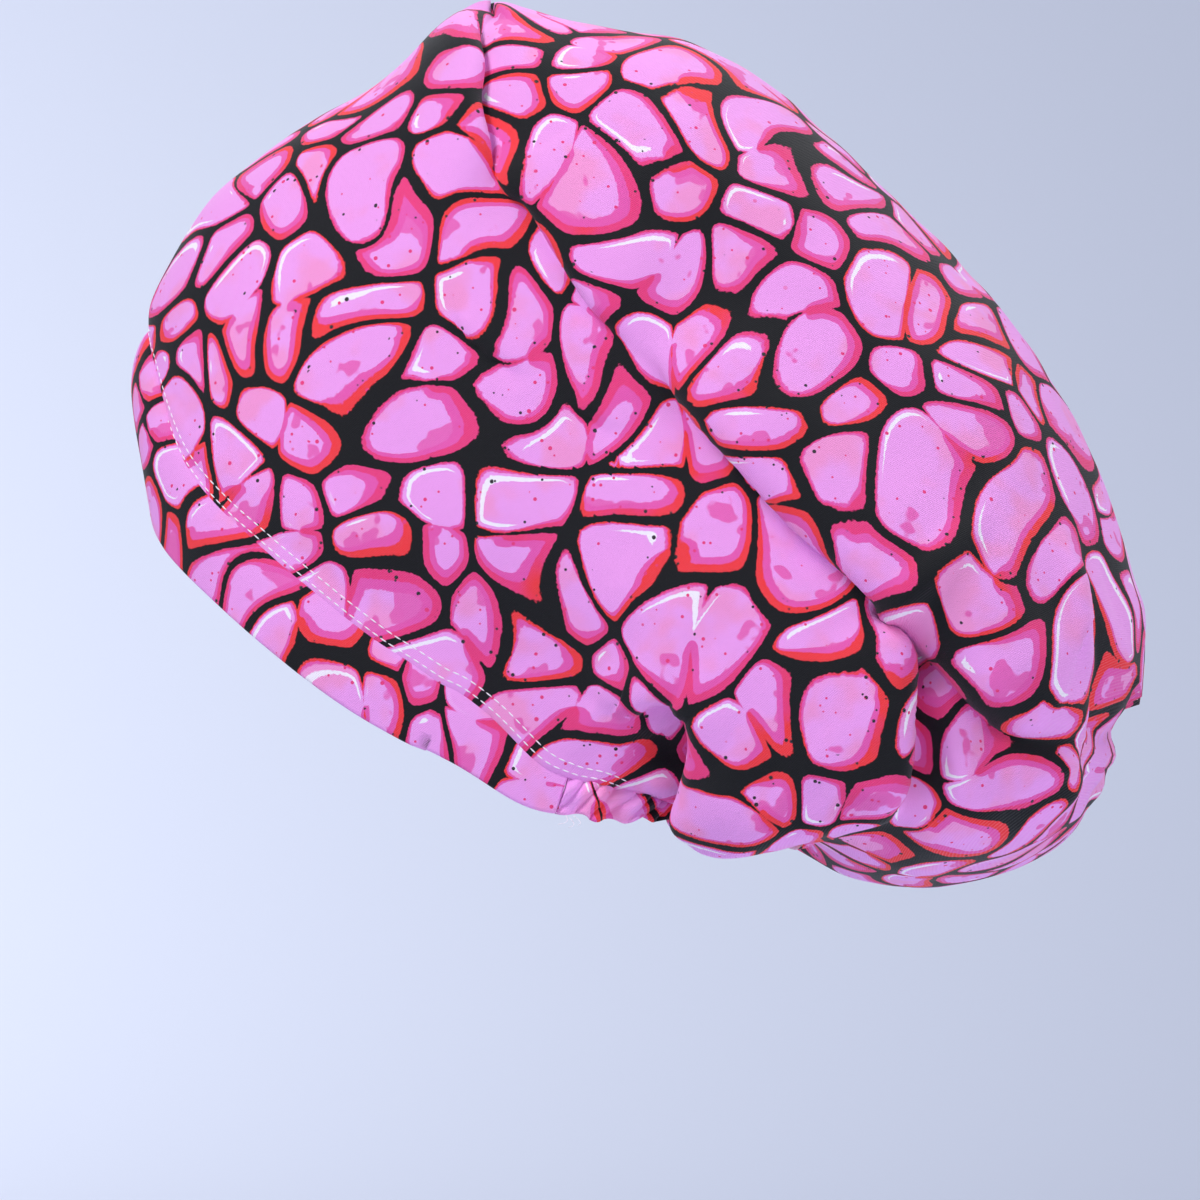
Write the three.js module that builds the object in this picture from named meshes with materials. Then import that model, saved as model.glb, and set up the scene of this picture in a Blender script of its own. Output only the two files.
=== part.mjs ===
// A gathered scrub cap, as worn: a bouffant crown on a folded front band and an elasticated nape casing.
// Millimetres. The wearer faces -Y, the wearer's left is +X and up is +Z. The origin is the centre of the
// ring in which band and casing grip the head.
import * as THREE from "three";

// The ring round the head, along the seam that joins the crown to band and casing
const RING_LENGTH = 199; // forehead to nape
const RING_WIDTH = 165; // over the ears
const RING_SQUARENESS = 2.5; // exponent of the ring's superellipse, 2 being an ellipse

// The crown
const CROWN_LENGTH = 329; // forehead seam to the back of the bag
const CROWN_HEIGHT = 291; // bottom of the bag to the peak
const BAG_WIDTH = 230;
const CROWN_CLOTH = 1.5;

// The folded band across the forehead
const BAND_DEPTH = 34; // at the centre
const BAND_CLOTH = 3; // both layers
const BAND_ROLL = 6; // how far the cloth rolls out below its seam
const ROLL_TURN = 0.78; // the roll's arc, as a share of a half turn: the hem comes back in at its end
const ROLL_LIFT = 0.7; // below 1 the roll is fullest above the middle of the band
const DOWN_TURN = [5, 55]; // degrees round the ring over which the band turns from hanging straight down

// The casing round the nape
const CASING_DEPTH = 12;
const CASING_CLOTH = 3; // both layers
const CASING_START = 108; // degrees round the ring from the forehead, at the ear
const GATHERS = 7; // each side
const GATHER_DEPTH = 3;
const GATHER_FADE = 0.12; // share of the way from ear to nape over which the gathers start and end
const CASING_PUFF = 2; // how far the casing rounds out between its seam and its hem

// Handle lengths of the curves that a section is made of, as shares of the spans they bridge
const LEAVE = 0.6; // where the cloth leaves the seam
const ARRIVE = 0.4; // where it comes to its widest point
const ROUND = 0.6; // from there on up
const SHOULDER = 0.7; // and over the middle line
const WIDEST = 0.4; // share of a section's steps that lie below its widest point
const OUTWARD = 0.1; // weight of straight out in the direction of leaving, beside a whole ring's width

const SEAM_GAP = 0.3; // between neighbouring pieces

const PINK = { color: 0xf07ae0, roughness: 0.85, metalness: 0 };

// Rows of numbers to rows of named values.
function table(columns, rows) {
  const names = columns.split(" ");
  return rows.map((row) => Object.fromEntries(names.map((name, i) => [name, row[i]])));
}

// One row for each section, from the forehead round to the nape. A section starts at the seam and runs up and
// over to the crown's middle line.
// angle: its place round the ring, in degrees. seam: the seam's height, and height: the middle line's, as shares
// of CROWN_HEIGHT from the ring's centre. along: the middle line's share of CROWN_LENGTH from the forehead.
// wide: how far out the section gets, as a share of the way from its seam to half of BAG_WIDTH. place: where it
// is widest, as a share of the way from its seam to the middle line.
// lean: the cloth's slope where it leaves the seam, in degrees out from straight on. depth: the band's share of
// BAND_DEPTH there.
const SECTIONS = table("angle seam height along wide place lean depth", [
  [0, 0.275, 0.275, 0.0, 0.0, 0.15, 2, 1.0],
  [10, 0.244, 0.325, 0.006, 0.004, 0.15, 2, 0.97],
  [22, 0.186, 0.421, 0.055, 0.012, 0.15, 3, 0.93],
  [33, 0.128, 0.47, 0.102, 0.02, 0.16, 4, 0.82],
  [46, 0.077, 0.523, 0.166, 0.04, 0.18, 5, 0.74],
  [56, 0.04, 0.561, 0.225, 0.06, 0.2, 6, 0.72],
  [67, -0.006, 0.619, 0.29, 0.09, 0.22, 8, 0.71],
  [75, -0.043, 0.653, 0.343, 0.12, 0.24, 9, 0.7],
  [81, -0.072, 0.647, 0.382, 0.17, 0.25, 10, 0.69],
  [87, -0.101, 0.63, 0.456, 0.28, 0.26, 12, 0.68],
  [94, -0.147, 0.608, 0.548, 0.42, 0.28, 16, 0.6],
  [102, -0.202, 0.561, 0.624, 0.59, 0.3, 24, 0.45],
  [108, -0.22, 0.507, 0.686, 0.72, 0.32, 34, 0.38],
  [114, -0.227, 0.446, 0.74, 0.82, 0.34, 46, 0.36],
  [120, -0.234, 0.361, 0.812, 0.9, 0.36, 68, 0.36],
  [126, -0.24, 0.297, 0.868, 0.955, 0.37, 92, 0.36],
  [132, -0.246, 0.217, 0.91, 1.0, 0.37, 118, 0.36],
  [138, -0.252, 0.02, 0.985, 1.0, 0.36, 130, 0.36],
  [144, -0.257, -0.06, 1.0, 0.95, 0.36, 126, 0.36],
  [150, -0.262, -0.198, 0.979, 0.865, 0.38, 118, 0.36],
  [157, -0.267, -0.297, 0.913, 0.7, 0.4, 106, 0.36],
  [164, -0.27, -0.347, 0.802, 0.46, 0.4, 94, 0.36],
  [172, -0.274, -0.337, 0.703, 0.18, 0.4, 80, 0.36],
  [180, -0.275, -0.275, 0.603, 0.0, 0.4, 70, 0.36],
]);
const LAST_ROW = SECTIONS.length - 1;
const EAR_ROW = SECTIONS.findIndex((row) => row.angle === CASING_START);
const BAND_STEPS = 2; // steps from one row to the next
const CASING_STEPS = 3;
const CROWN_STEPS = 18; // steps from the seam to the middle line
const STRIP_STEPS = 5; // steps from the top of band or casing to its hem
const HEM_ROUND = 0.25; // share of the cloth that the hem's fold takes off each side

// Folds and dents, each along a curve through three points seen from the side: shares of CROWN_LENGTH from the
// forehead and of CROWN_HEIGHT from the ring's centre. width, groove and ridge are shares of CROWN_HEIGHT, and
// the ridge is on the curve's left as it runs when positive and on its right when negative. across: 1 where the
// fold carries on over the middle line.
const FOLDS = table("along1 height1 along2 height2 along3 height3 width groove ridge across", [
  [0.342, 0.64, 0.328, 0.556, 0.365, 0.431, 0.031, 0.01, -0.01, 1],
  [0.35, 0.448, 0.41, 0.358, 0.482, 0.244, 0.041, 0.01, 0.014, 0],
  [0.46, 0.281, 0.62, 0.091, 0.756, -0.048, 0.069, 0.024, 0.027, 0],
  [0.72, -0.02, 0.811, -0.125, 0.91, -0.188, 0.069, 0.027, 0.021, 0],
  [0.731, -0.036, 0.766, -0.12, 0.748, -0.225, 0.069, 0.024, -0.014, 0],
  [0.48, -0.15, 0.54, -0.153, 0.535, -0.236, 0.045, 0.021, 0.014, 0],
  [0.996, -0.168, 0.971, -0.176, 0.891, -0.187, 0.048, 0.021, 0.01, 1],
  [0.95, -0.201, 0.936, -0.238, 0.891, -0.306, 0.048, 0.014, -0.007, 1],
  [0.931, 0.045, 0.943, -0.068, 0.951, -0.193, 0.055, 0.014, 0.01, 0],
  [0.306, 0.292, 0.323, 0.267, 0.381, 0.228, 0.027, 0.007, 0.007, 0],
  [0.425, 0.196, 0.45, 0.173, 0.475, 0.156, 0.027, 0.007, 0.005, 0],
]);
const FOLD_SAMPLES = 10; // points along a fold's curve
const FOLD_TAPER = 0.2; // share of a fold's length over which it fades in and out
const RIDGE_PLACE = 1.2; // how far the ridge lies beside its groove, in widths
const RIDGE_SIDE_STEEPNESS = 3; // how much steeper the groove is beside its ridge
const MIDDLE_FADE = [0.1, 0.3]; // share of a section over which a fold fades before the middle line
const SEAM_FADE = 0.12; // share of a section over which folds fade towards the seam
const NEARBY = 0.05; // rows to either side that give the seam's direction at a place

// Slope of a column at a row, for a smooth curve through every row. The seam crosses the middle line level.
function slopeAt(column, index) {
  if (column === "seam" && index % LAST_ROW === 0) return 0;
  const [before, after] = [Math.max(index - 1, 0), Math.min(index + 1, LAST_ROW)];
  return (SECTIONS[after][column] - SECTIONS[before][column]) / (after - before);
}

// A column's value between rows, by cubic interpolation.
function read(column, station) {
  const index = THREE.MathUtils.clamp(Math.floor(station), 0, LAST_ROW - 1);
  const t = station - index;
  const [start, end] = [SECTIONS[index][column], SECTIONS[index + 1][column]];
  const [leave, arrive] = [slopeAt(column, index), slopeAt(column, index + 1)];
  const bend = 2 * start - 2 * end + leave + arrive;
  const lift = 3 * (end - start) - 2 * leave - arrive;
  return ((bend * t + lift) * t + leave) * t + start;
}

const smoothstep = (value, low, high) => THREE.MathUtils.smoothstep(value, low, high);

// A point of the ungathered seam, on the wearer's left.
function ringPoint(station) {
  const angle = THREE.MathUtils.degToRad(read("angle", station));
  const power = 2 / RING_SQUARENESS;
  const across = Math.sign(Math.sin(angle)) * Math.abs(Math.sin(angle)) ** power;
  const ahead = Math.sign(Math.cos(angle)) * Math.abs(Math.cos(angle)) ** power;
  return new THREE.Vector3(
    (RING_WIDTH / 2) * across,
    (-RING_LENGTH / 2) * ahead,
    CROWN_HEIGHT * read("seam", station),
  );
}

// Directions at a point of the seam: out from the head, and down along the band. Over the forehead down turns
// to straight down, so that the band doesn't pile up at its middle.
function seamFrame(station) {
  const degrees = Math.min(read("angle", station), 180);
  const angle = THREE.MathUtils.degToRad(degrees);
  const turn = 2 - 2 / RING_SQUARENESS;
  const out = new THREE.Vector3(
    Math.abs(Math.sin(angle)) ** turn / RING_WIDTH,
    (-Math.sign(Math.cos(angle)) * Math.abs(Math.cos(angle)) ** turn) / RING_LENGTH,
    0,
  ).normalize();
  const run = ringPoint(station + NEARBY).sub(ringPoint(station - NEARBY));
  const square = new THREE.Vector3().crossVectors(run, out).normalize();
  const down = new THREE.Vector3(0, 0, -1).lerp(square, smoothstep(degrees, ...DOWN_TURN)).normalize();
  return { out, down };
}

// How far the gathers push the seam out, behind the ears.
function gather(station) {
  const behind = (read("angle", station) - CASING_START) / (180 - CASING_START);
  if (behind <= 0) return 0;
  const fade = smoothstep(behind, 0, GATHER_FADE) * smoothstep(1 - behind, 0, GATHER_FADE);
  return (GATHER_DEPTH / 2) * fade * (1 - Math.cos(2 * Math.PI * GATHERS * behind));
}

function seamPoint(station) {
  const { out } = seamFrame(station);
  return ringPoint(station).addScaledVector(out, gather(station));
}

// A point of the crown's middle line.
function crestPoint(station) {
  return new THREE.Vector3(
    0,
    -RING_LENGTH / 2 + CROWN_LENGTH * read("along", station),
    CROWN_HEIGHT * read("height", station),
  );
}

function bezier(points, t) {
  const s = 1 - t;
  const shares = [s * s * s, 3 * s * s * t, 3 * s * t * t, t * t * t];
  return points.reduce((sum, point, i) => sum.addScaledVector(point, shares[i]), new THREE.Vector3());
}

// A point of the crown before folding. up runs from 0 at the seam to 1 at the middle line.
function smoothCrown(station, up) {
  const seam = seamPoint(station);
  const crest = crestPoint(station);
  const { out, down } = seamFrame(station);
  const lean = THREE.MathUtils.degToRad(read("lean", station));
  const widest = seam.clone().lerp(crest, read("place", station));
  widest.x = THREE.MathUtils.lerp(seam.x, BAG_WIDTH / 2, read("wide", station));
  const aside = widest.clone().sub(seam).setZ(0).divideScalar(RING_WIDTH);
  aside.addScaledVector(out, OUTWARD).normalize();
  const leave = aside.multiplyScalar(Math.sin(lean)).addScaledVector(down, -Math.cos(lean));
  const onward = crest.clone().sub(widest).setX(0);
  const rise = widest.distanceTo(seam);
  if (up < WIDEST) {
    const start = seam.clone().addScaledVector(leave, LEAVE * rise);
    const finish = widest.clone().addScaledVector(onward.normalize(), -ARRIVE * rise);
    return bezier([seam, start, finish, widest], up / WIDEST);
  }
  const shoulder = crest.clone().setX(SHOULDER * widest.x);
  const handles = [widest, widest.clone().addScaledVector(onward, ROUND), shoulder, crest];
  return bezier(handles, (up - WIDEST) / (1 - WIDEST));
}

// A fold's curve, seen from the side, as a run of points.
function foldPath(fold) {
  const points = [1, 2, 3].map(
    (n) =>
      new THREE.Vector2(
        -RING_LENGTH / 2 + CROWN_LENGTH * fold[`along${n}`],
        CROWN_HEIGHT * fold[`height${n}`],
      ),
  );
  return new THREE.SplineCurve(points).getPoints(FOLD_SAMPLES);
}

const FOLD_PATHS = FOLDS.map((fold) => ({ ...fold, path: foldPath(fold) }));

// The nearest place on a path: its distance, signed to the left, and its share of the way.
function nearest(path, place) {
  let best = { distance: Infinity, side: 0, share: 0 };
  for (let i = 0; i < path.length - 1; i++) {
    const run = path[i + 1].clone().sub(path[i]);
    const from = place.clone().sub(path[i]);
    const t = THREE.MathUtils.clamp(from.dot(run) / run.lengthSq(), 0, 1);
    const distance = from.clone().addScaledVector(run, -t).length();
    if (distance < best.distance) {
      best = { distance, side: Math.sign(run.cross(from)), share: (i + t) / (path.length - 1) };
    }
  }
  return best;
}

// How far the folds move a point of the crown along its normal.
function foldDepth(point, up) {
  const place = new THREE.Vector2(point.y, point.z);
  let depth = 0;
  for (const fold of FOLD_PATHS) {
    const { distance, side, share } = nearest(fold.path, place);
    const offset = distance / (CROWN_HEIGHT * fold.width);
    const taper = smoothstep(share, 0, FOLD_TAPER) * smoothstep(1 - share, 0, FOLD_TAPER);
    const middle = fold.across ? 1 : smoothstep(1 - up, ...MIDDLE_FADE);
    const towards = side * Math.sign(fold.ridge) * offset;
    const steepness = towards > 0 ? RIDGE_SIDE_STEEPNESS : 1;
    const ridge = Math.abs(fold.ridge) * Math.exp(-((towards - RIDGE_PLACE) ** 2));
    const groove = fold.groove * Math.exp(-steepness * offset ** 2);
    depth += taper * middle * (ridge - groove);
  }
  return CROWN_HEIGHT * depth * smoothstep(up, 0, SEAM_FADE);
}

// Stations from one row to another, closer together behind the ears.
function stationsBetween(first, last) {
  const stations = [first];
  for (let row = first; row < last; row++) {
    const steps = row < EAR_ROW ? BAND_STEPS : CASING_STEPS;
    for (let n = 1; n <= steps; n++) stations.push(row + n / steps);
  }
  return stations;
}

function normalsOf(points, faces) {
  const geometry = new THREE.BufferGeometry().setFromPoints(points).setIndex(faces);
  geometry.computeVertexNormals();
  const normals = geometry.getAttribute("normal");
  return points.map((_, i) => new THREE.Vector3().fromBufferAttribute(normals, i));
}

function named(name, points, faces) {
  const geometry = new THREE.BufferGeometry().setFromPoints(points).setIndex(faces);
  const mesh = new THREE.Mesh(geometry, new THREE.MeshStandardMaterial(PINK));
  mesh.name = name;
  return mesh;
}

// The crown: sections from the right seam over the middle to the left seam, which close to a point at the
// forehead and at the nape. It is folded, and then given its thickness inwards.
function crown() {
  const stations = stationsBetween(0, LAST_ROW);
  const columns = 2 * CROWN_STEPS + 1;
  const end = stations.length - 1;
  const at = (i, j) => (i === 0 ? 0 : i === end ? 1 + (end - 1) * columns : 1 + (i - 1) * columns + j);
  const smooth = [];
  const ups = [];
  for (let i = 0; i <= end; i++) {
    for (let j = 0; j < (i % end ? columns : 1); j++) {
      const side = i % end ? j - CROWN_STEPS : CROWN_STEPS;
      const up = 1 - Math.abs(side) / CROWN_STEPS;
      const point = smoothCrown(stations[i], up);
      point.x *= i % end ? Math.sign(side) : 0;
      smooth.push(point);
      ups.push(up);
    }
  }
  const skin = [];
  const addFace = (a, b, c) => {
    if (a !== b && b !== c && c !== a) skin.push(a, b, c);
  };
  for (let i = 0; i < end; i++) {
    for (let j = 0; j < columns - 1; j++) {
      addFace(at(i, j), at(i, j + 1), at(i + 1, j + 1));
      addFace(at(i, j), at(i + 1, j + 1), at(i + 1, j));
    }
  }
  const lifts = normalsOf(smooth, skin);
  const outer = smooth.map((point, i) =>
    point.clone().addScaledVector(lifts[i], foldDepth(point, ups[i])),
  );
  const normals = normalsOf(outer, skin);
  const inner = outer.map((point, i) => point.clone().addScaledVector(normals[i], -CROWN_CLOTH));
  const faces = [...skin];
  const count = outer.length;
  for (let n = 0; n < skin.length; n += 3) {
    faces.push(skin[n] + count, skin[n + 2] + count, skin[n + 1] + count);
  }
  for (let i = 0; i < end; i++) {
    const [a, b] = [at(i, columns - 1), at(i + 1, columns - 1)];
    faces.push(b, a, a + count, b, a + count, b + count);
    const [c, d] = [at(i, 0), at(i + 1, 0)];
    faces.push(c, d, d + count, c, d + count, c + count);
  }
  return named("crown", [...outer, ...inner], faces);
}

// A doubled strip of cloth below the seam. walk lists its places round the ring, and profile gives how far it
// stands out at a share of its depth.
function strip(name, walk, cloth, depthAt, profile) {
  const points = [];
  const faces = [];
  const around = 2 * (STRIP_STEPS + 1);
  for (const { station, side } of walk) {
    const { out, down } = seamFrame(station);
    const seam = seamPoint(station);
    for (let k = 0; k < around; k++) {
      const inside = k > STRIP_STEPS;
      const share = (inside ? around - 1 - k : k) / STRIP_STEPS;
      const fold = cloth * (share === 1 ? HEM_ROUND : 0);
      const offset = profile(station, share) - (inside ? cloth - fold : fold);
      const point = seam.clone().addScaledVector(out, offset);
      point.addScaledVector(down, SEAM_GAP + depthAt(station) * share);
      point.x *= side;
      points.push(point);
    }
  }
  for (let i = 0; i < walk.length - 1; i++) {
    for (let k = 0; k < around; k++) {
      const [a, b] = [i * around + k, i * around + ((k + 1) % around)];
      const [c, d] = [b + around, a + around];
      faces.push(a, b, c, a, c, d);
    }
  }
  const last = (walk.length - 1) * around;
  for (let k = 0; k < STRIP_STEPS; k++) {
    const [a, b, c, d] = [k, k + 1, around - 2 - k, around - 1 - k];
    faces.push(a, c, b, a, d, c);
    faces.push(last + a, last + b, last + c, last + a, last + c, last + d);
  }
  return named(name, points, faces);
}

// The share of a row that half the gap between band and casing takes up at the ear.
function earGap() {
  const run = ringPoint(EAR_ROW + NEARBY).distanceTo(ringPoint(EAR_ROW - NEARBY));
  return (SEAM_GAP * NEARBY) / run;
}

function frontBand() {
  const half = stationsBetween(0, EAR_ROW);
  half[half.length - 1] -= earGap();
  const left = half.map((station) => ({ station, side: 1 }));
  const right = half.slice(1).map((station) => ({ station, side: -1 }));
  const depthAt = (station) => BAND_DEPTH * read("depth", station);
  const profile = (station, share) =>
    BAND_ROLL * read("depth", station) ** 2 * Math.sin(ROLL_TURN * Math.PI * share ** ROLL_LIFT);
  return strip("front_band", [...right.reverse(), ...left], BAND_CLOTH, depthAt, profile);
}

function napeCasing() {
  const half = stationsBetween(EAR_ROW, LAST_ROW);
  half[0] += earGap();
  const left = half.map((station) => ({ station, side: 1 }));
  const right = half.slice(0, -1).map((station) => ({ station, side: -1 }));
  const profile = (_, share) => CASING_PUFF * Math.sin(Math.PI * share) ** 2;
  return strip("nape_casing", [...left, ...right.reverse()], CASING_CLOTH, () => CASING_DEPTH, profile);
}

const cap = new THREE.Group();
cap.add(crown(), frontBand(), napeCasing());
export default cap;
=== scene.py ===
import math

import bpy
import numpy as np
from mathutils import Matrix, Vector


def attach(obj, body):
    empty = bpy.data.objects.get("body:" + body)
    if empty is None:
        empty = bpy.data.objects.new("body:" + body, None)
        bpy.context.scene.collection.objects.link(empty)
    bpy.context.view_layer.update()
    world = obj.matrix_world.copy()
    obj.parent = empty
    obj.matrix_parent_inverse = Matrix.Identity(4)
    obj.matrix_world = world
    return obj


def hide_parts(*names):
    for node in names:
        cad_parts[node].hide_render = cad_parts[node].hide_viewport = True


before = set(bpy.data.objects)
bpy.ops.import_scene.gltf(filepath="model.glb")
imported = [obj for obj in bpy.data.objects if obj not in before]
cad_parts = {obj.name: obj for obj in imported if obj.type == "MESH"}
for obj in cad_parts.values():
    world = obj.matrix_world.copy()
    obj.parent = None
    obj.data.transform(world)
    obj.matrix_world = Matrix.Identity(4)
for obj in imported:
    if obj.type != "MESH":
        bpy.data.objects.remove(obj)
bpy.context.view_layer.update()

# Camera. It looks level at the wearer's left side, from so far off that the view is almost parallel. The
# cap fills the frame as in the photograph, whose pixels are turned into millimetres beside and above the
# head's centre.
MM = 0.001
MM_PER_PIXEL = 0.33
PHOTO_SIZE = 1200
HEAD_CENTRE_PIXEL = (451, 580)
CAMERA_DISTANCE = 6.0
SENSOR = 36.0


def from_photo(across, down):
    """A pixel of the photograph as millimetres behind and above the head's centre."""
    behind = (np.asarray(across, float) - HEAD_CENTRE_PIXEL[0]) * MM_PER_PIXEL
    above = (HEAD_CENTRE_PIXEL[1] - np.asarray(down, float)) * MM_PER_PIXEL
    return behind, above


view_width = PHOTO_SIZE * MM_PER_PIXEL * MM
middle_y, middle_z = from_photo(PHOTO_SIZE / 2, PHOTO_SIZE / 2)
camera_data = bpy.data.cameras.new("camera")
camera_data.sensor_width = SENSOR
camera_data.lens = SENSOR * CAMERA_DISTANCE / view_width
camera_data.clip_end = 50
camera = bpy.data.objects.new("camera", camera_data)
camera.location = (CAMERA_DISTANCE, middle_y * MM, middle_z * MM)
camera.rotation_euler = (math.radians(90), 0, math.radians(90))
bpy.context.collection.objects.link(camera)
bpy.context.scene.camera = camera

# Crown. One piece of printed cotton twill from the forehead over the peak to the full bag at the back. It
# is built from the same sections as the solid, from seam to middle line on each side, and then folded and
# creased as the cloth is where it slumps behind the head. Its hem laps over the band and the casing.
RING_LENGTH, RING_WIDTH, RING_SQUARENESS = 199.0, 165.0, 2.5
CROWN_LENGTH, CROWN_HEIGHT, BAG_WIDTH = 329.0, 291.0, 230.0
LEAVE, ARRIVE, ROUND, SHOULDER, WIDEST, OUTWARD = 0.6, 0.4, 0.6, 0.7, 0.4, 0.1
DOWN_TURN = (5, 55)
CASING_START, GATHERS, GATHER_DEPTH, GATHER_FADE = 108.0, 7, 3.0, 0.12
CROWN_STEPS_PER_ROW, CROWN_STEPS_UP = 15, 138
HEM_LIFT = 1.0  # how far the crown's hem stands off the band that it laps
HEM_TURN = 3.0  # how far the hem's folded edge is turned under

COLUMNS = "angle seam height along wide place lean depth".split()
SECTIONS = np.array([
    [0, 0.275, 0.275, 0.0, 0.0, 0.15, 2, 1.0],
    [10, 0.244, 0.325, 0.006, 0.004, 0.15, 2, 0.97],
    [22, 0.186, 0.421, 0.055, 0.012, 0.15, 3, 0.93],
    [33, 0.128, 0.47, 0.102, 0.02, 0.16, 4, 0.82],
    [46, 0.077, 0.523, 0.166, 0.04, 0.18, 5, 0.74],
    [56, 0.04, 0.561, 0.225, 0.06, 0.2, 6, 0.72],
    [67, -0.006, 0.619, 0.29, 0.09, 0.22, 8, 0.71],
    [75, -0.043, 0.653, 0.343, 0.12, 0.24, 9, 0.7],
    [81, -0.072, 0.647, 0.382, 0.17, 0.25, 10, 0.69],
    [87, -0.101, 0.63, 0.456, 0.28, 0.26, 12, 0.68],
    [94, -0.147, 0.608, 0.548, 0.42, 0.28, 16, 0.6],
    [102, -0.202, 0.561, 0.624, 0.59, 0.3, 24, 0.45],
    [108, -0.22, 0.507, 0.686, 0.72, 0.32, 34, 0.38],
    [114, -0.227, 0.446, 0.74, 0.82, 0.34, 46, 0.36],
    [120, -0.234, 0.361, 0.812, 0.9, 0.36, 68, 0.36],
    [126, -0.24, 0.297, 0.868, 0.955, 0.37, 92, 0.36],
    [132, -0.246, 0.217, 0.91, 1.0, 0.37, 118, 0.36],
    [138, -0.252, 0.02, 0.985, 1.0, 0.36, 130, 0.36],
    [144, -0.257, -0.06, 1.0, 0.95, 0.36, 126, 0.36],
    [150, -0.262, -0.198, 0.979, 0.865, 0.38, 118, 0.36],
    [157, -0.267, -0.297, 0.913, 0.7, 0.4, 106, 0.36],
    [164, -0.27, -0.347, 0.802, 0.46, 0.4, 94, 0.36],
    [172, -0.274, -0.337, 0.703, 0.18, 0.4, 80, 0.36],
    [180, -0.275, -0.275, 0.603, 0.0, 0.4, 70, 0.36],
])
LAST_ROW = len(SECTIONS) - 1

# Folds of the cloth. Each runs through points of the photograph. The cloth on its upper side, the left of
# its run when side is 1 and the right when it is -1, stands up by ridge and laps over the groove by lap,
# in millimetres. start and finish are the shares of its length over which it fades, and across is 1 where
# it crosses the middle.
FOLD_FACTS = "side width groove ridge lap start finish across".split()
FOLDS = {
    "peak_pleat": ([(492, 2), (474, 34), (478, 70), (475, 110), (490, 160), (506, 192)],
                   [-1, 9, 4.5, 3.0, 6, 0.02, 0.3, 1]),
    "pleat": ([(480, 120), (500, 188), (530, 210), (559, 258), (592, 309), (625, 349), (660, 388)],
              [1, 13, 3.5, 5.5, 6, 0.25, 0.35, 0]),
    "diagonal": ([(625, 338), (671, 390), (738, 462), (791, 520), (849, 571), (900, 622)],
                 [1, 19, 6.5, 9.0, 10, 0.3, 0.1, 0]),
    "roll": ([(872, 598), (930, 646), (972, 700), (1020, 738), (1075, 752)],
             [1, 20, 13.0, 7.5, 8, 0.1, 0.35, 0]),
    "lobe_back": ([(868, 596), (906, 646), (907, 700), (903, 760), (886, 822)],
                  [-1, 13, 12.0, 5.5, 8, 0.2, 0.15, 0]),
    "lobe_front": ([(662, 705), (684, 722), (689, 752), (683, 792), (664, 832)],
                   [1, 11, 7.5, 5.0, 6, 0.3, 0.2, 0]),
    "lobe_arch": ([(628, 728), (645, 709), (667, 706), (684, 722)],
                  [1, 9, 4.5, 3.5, 3, 0.3, 0.3, 0]),
    "notch": ([(1150, 728), (1125, 739), (1098, 757)],
              [1, 14, 6.5, 2.5, 1, 0.0, 0.4, 1]),
    "under_notch": ([(1098, 757), (1080, 800), (1035, 840)],
                    [-1, 12, 3.5, 2.5, 2, 0.2, 0.5, 0]),
    "back_crease": ([(1070, 470), (1082, 580), (1096, 660), (1104, 745)],
                    [-1, 10, 5.0, 3.0, 4, 0.4, 0.15, 0]),
    "back_crease_outer": ([(1092, 530), (1118, 610), (1142, 672)],
                          [-1, 8, 3.5, 2.0, 3, 0.3, 0.2, 0]),
    "back_crease_inner": ([(1030, 520), (1050, 610), (1085, 700), (1100, 750)],
                          [1, 12, 3.0, 2.0, 2, 0.4, 0.2, 0]),
    "tuck_upper": ([(452, 318), (473, 344), (507, 368), (536, 382)],
                   [1, 4.5, 1.8, 1.4, 2.2, 0.2, 0.3, 0]),
    "tuck_lower": ([(570, 402), (595, 423), (628, 446)],
                   [1, 4.5, 1.8, 1.4, 2.0, 0.2, 0.3, 0]),
    "under_roll": ([(905, 655), (915, 700), (925, 760), (935, 800)],
                   [1, 16, 6.0, 1.0, 0, 0.2, 0.3, 0]),
    "bottom": ([(648, 850), (719, 853), (795, 845), (875, 828), (915, 805)],
               [1, 10, 4.0, 2.0, 3, 0.15, 0.2, 0]),
}
FOLD_SAMPLES = 8  # points along a fold's curve from one of its points to the next
RIDGE_PLACE, RIDGE_NEAR, RIDGE_FAR = 0.8, 0.6, 1.1  # where a ridge stands and falls off, in widths of the fold
GROOVE_ABOVE, GROOVE_BELOW = 0.4, 0.9  # how wide its groove is on either side
LAP_STARTS, LAP_FULL, LAP_REACH = -0.1, 0.4, 1.2  # where the cloth starts to lap, laps in full and ends
MIDDLE_FADE = (0.06, 0.3)  # shares of the way down from the middle line over which a fold of one side comes in
SEAM_FADE = 0.07  # share of the way up from the seam over which folds come in
SLIDE_KEPT_LEVEL = 0.8  # how much of the part of a lap that would lift the cloth is taken out
FAR_SHIFT, FAR_LENGTHS = 5.0, (90, 80)  # how far the right side strays from the left, and over what length
PINCH_PIXEL = (1098, 757)
PINCH_REACH, PINCH_CREASES, PINCH_DEPTH = 32.0, 6, 1.2
PINCH_WOBBLE, PINCH_HEART = 2.2, (2, 16)
PINCH_DROP, PINCH_DROP_REACH = 4.5, 9.0
DIMPLE_PIXEL = (652, 752)
DIMPLE_REACH, DIMPLE_DEPTH = 10.0, 7.0

# Where the cloth hangs out of its plain form: about a pixel of the photograph, within reach, it is moved
# back, up and out by so many millimetres.
PULL_FACTS = "reach back up out".split()
PULL_SIDE = (30, 70)  # distance from the middle line over which a pull comes in
PULLS = {
    "front_of_lobe": ([(664, 838)], [20, -9, -5.5, 3]),
    "bottom_of_lobe": ([(750, 850)], [28, 0, -4.0, 2]),
}

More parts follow.
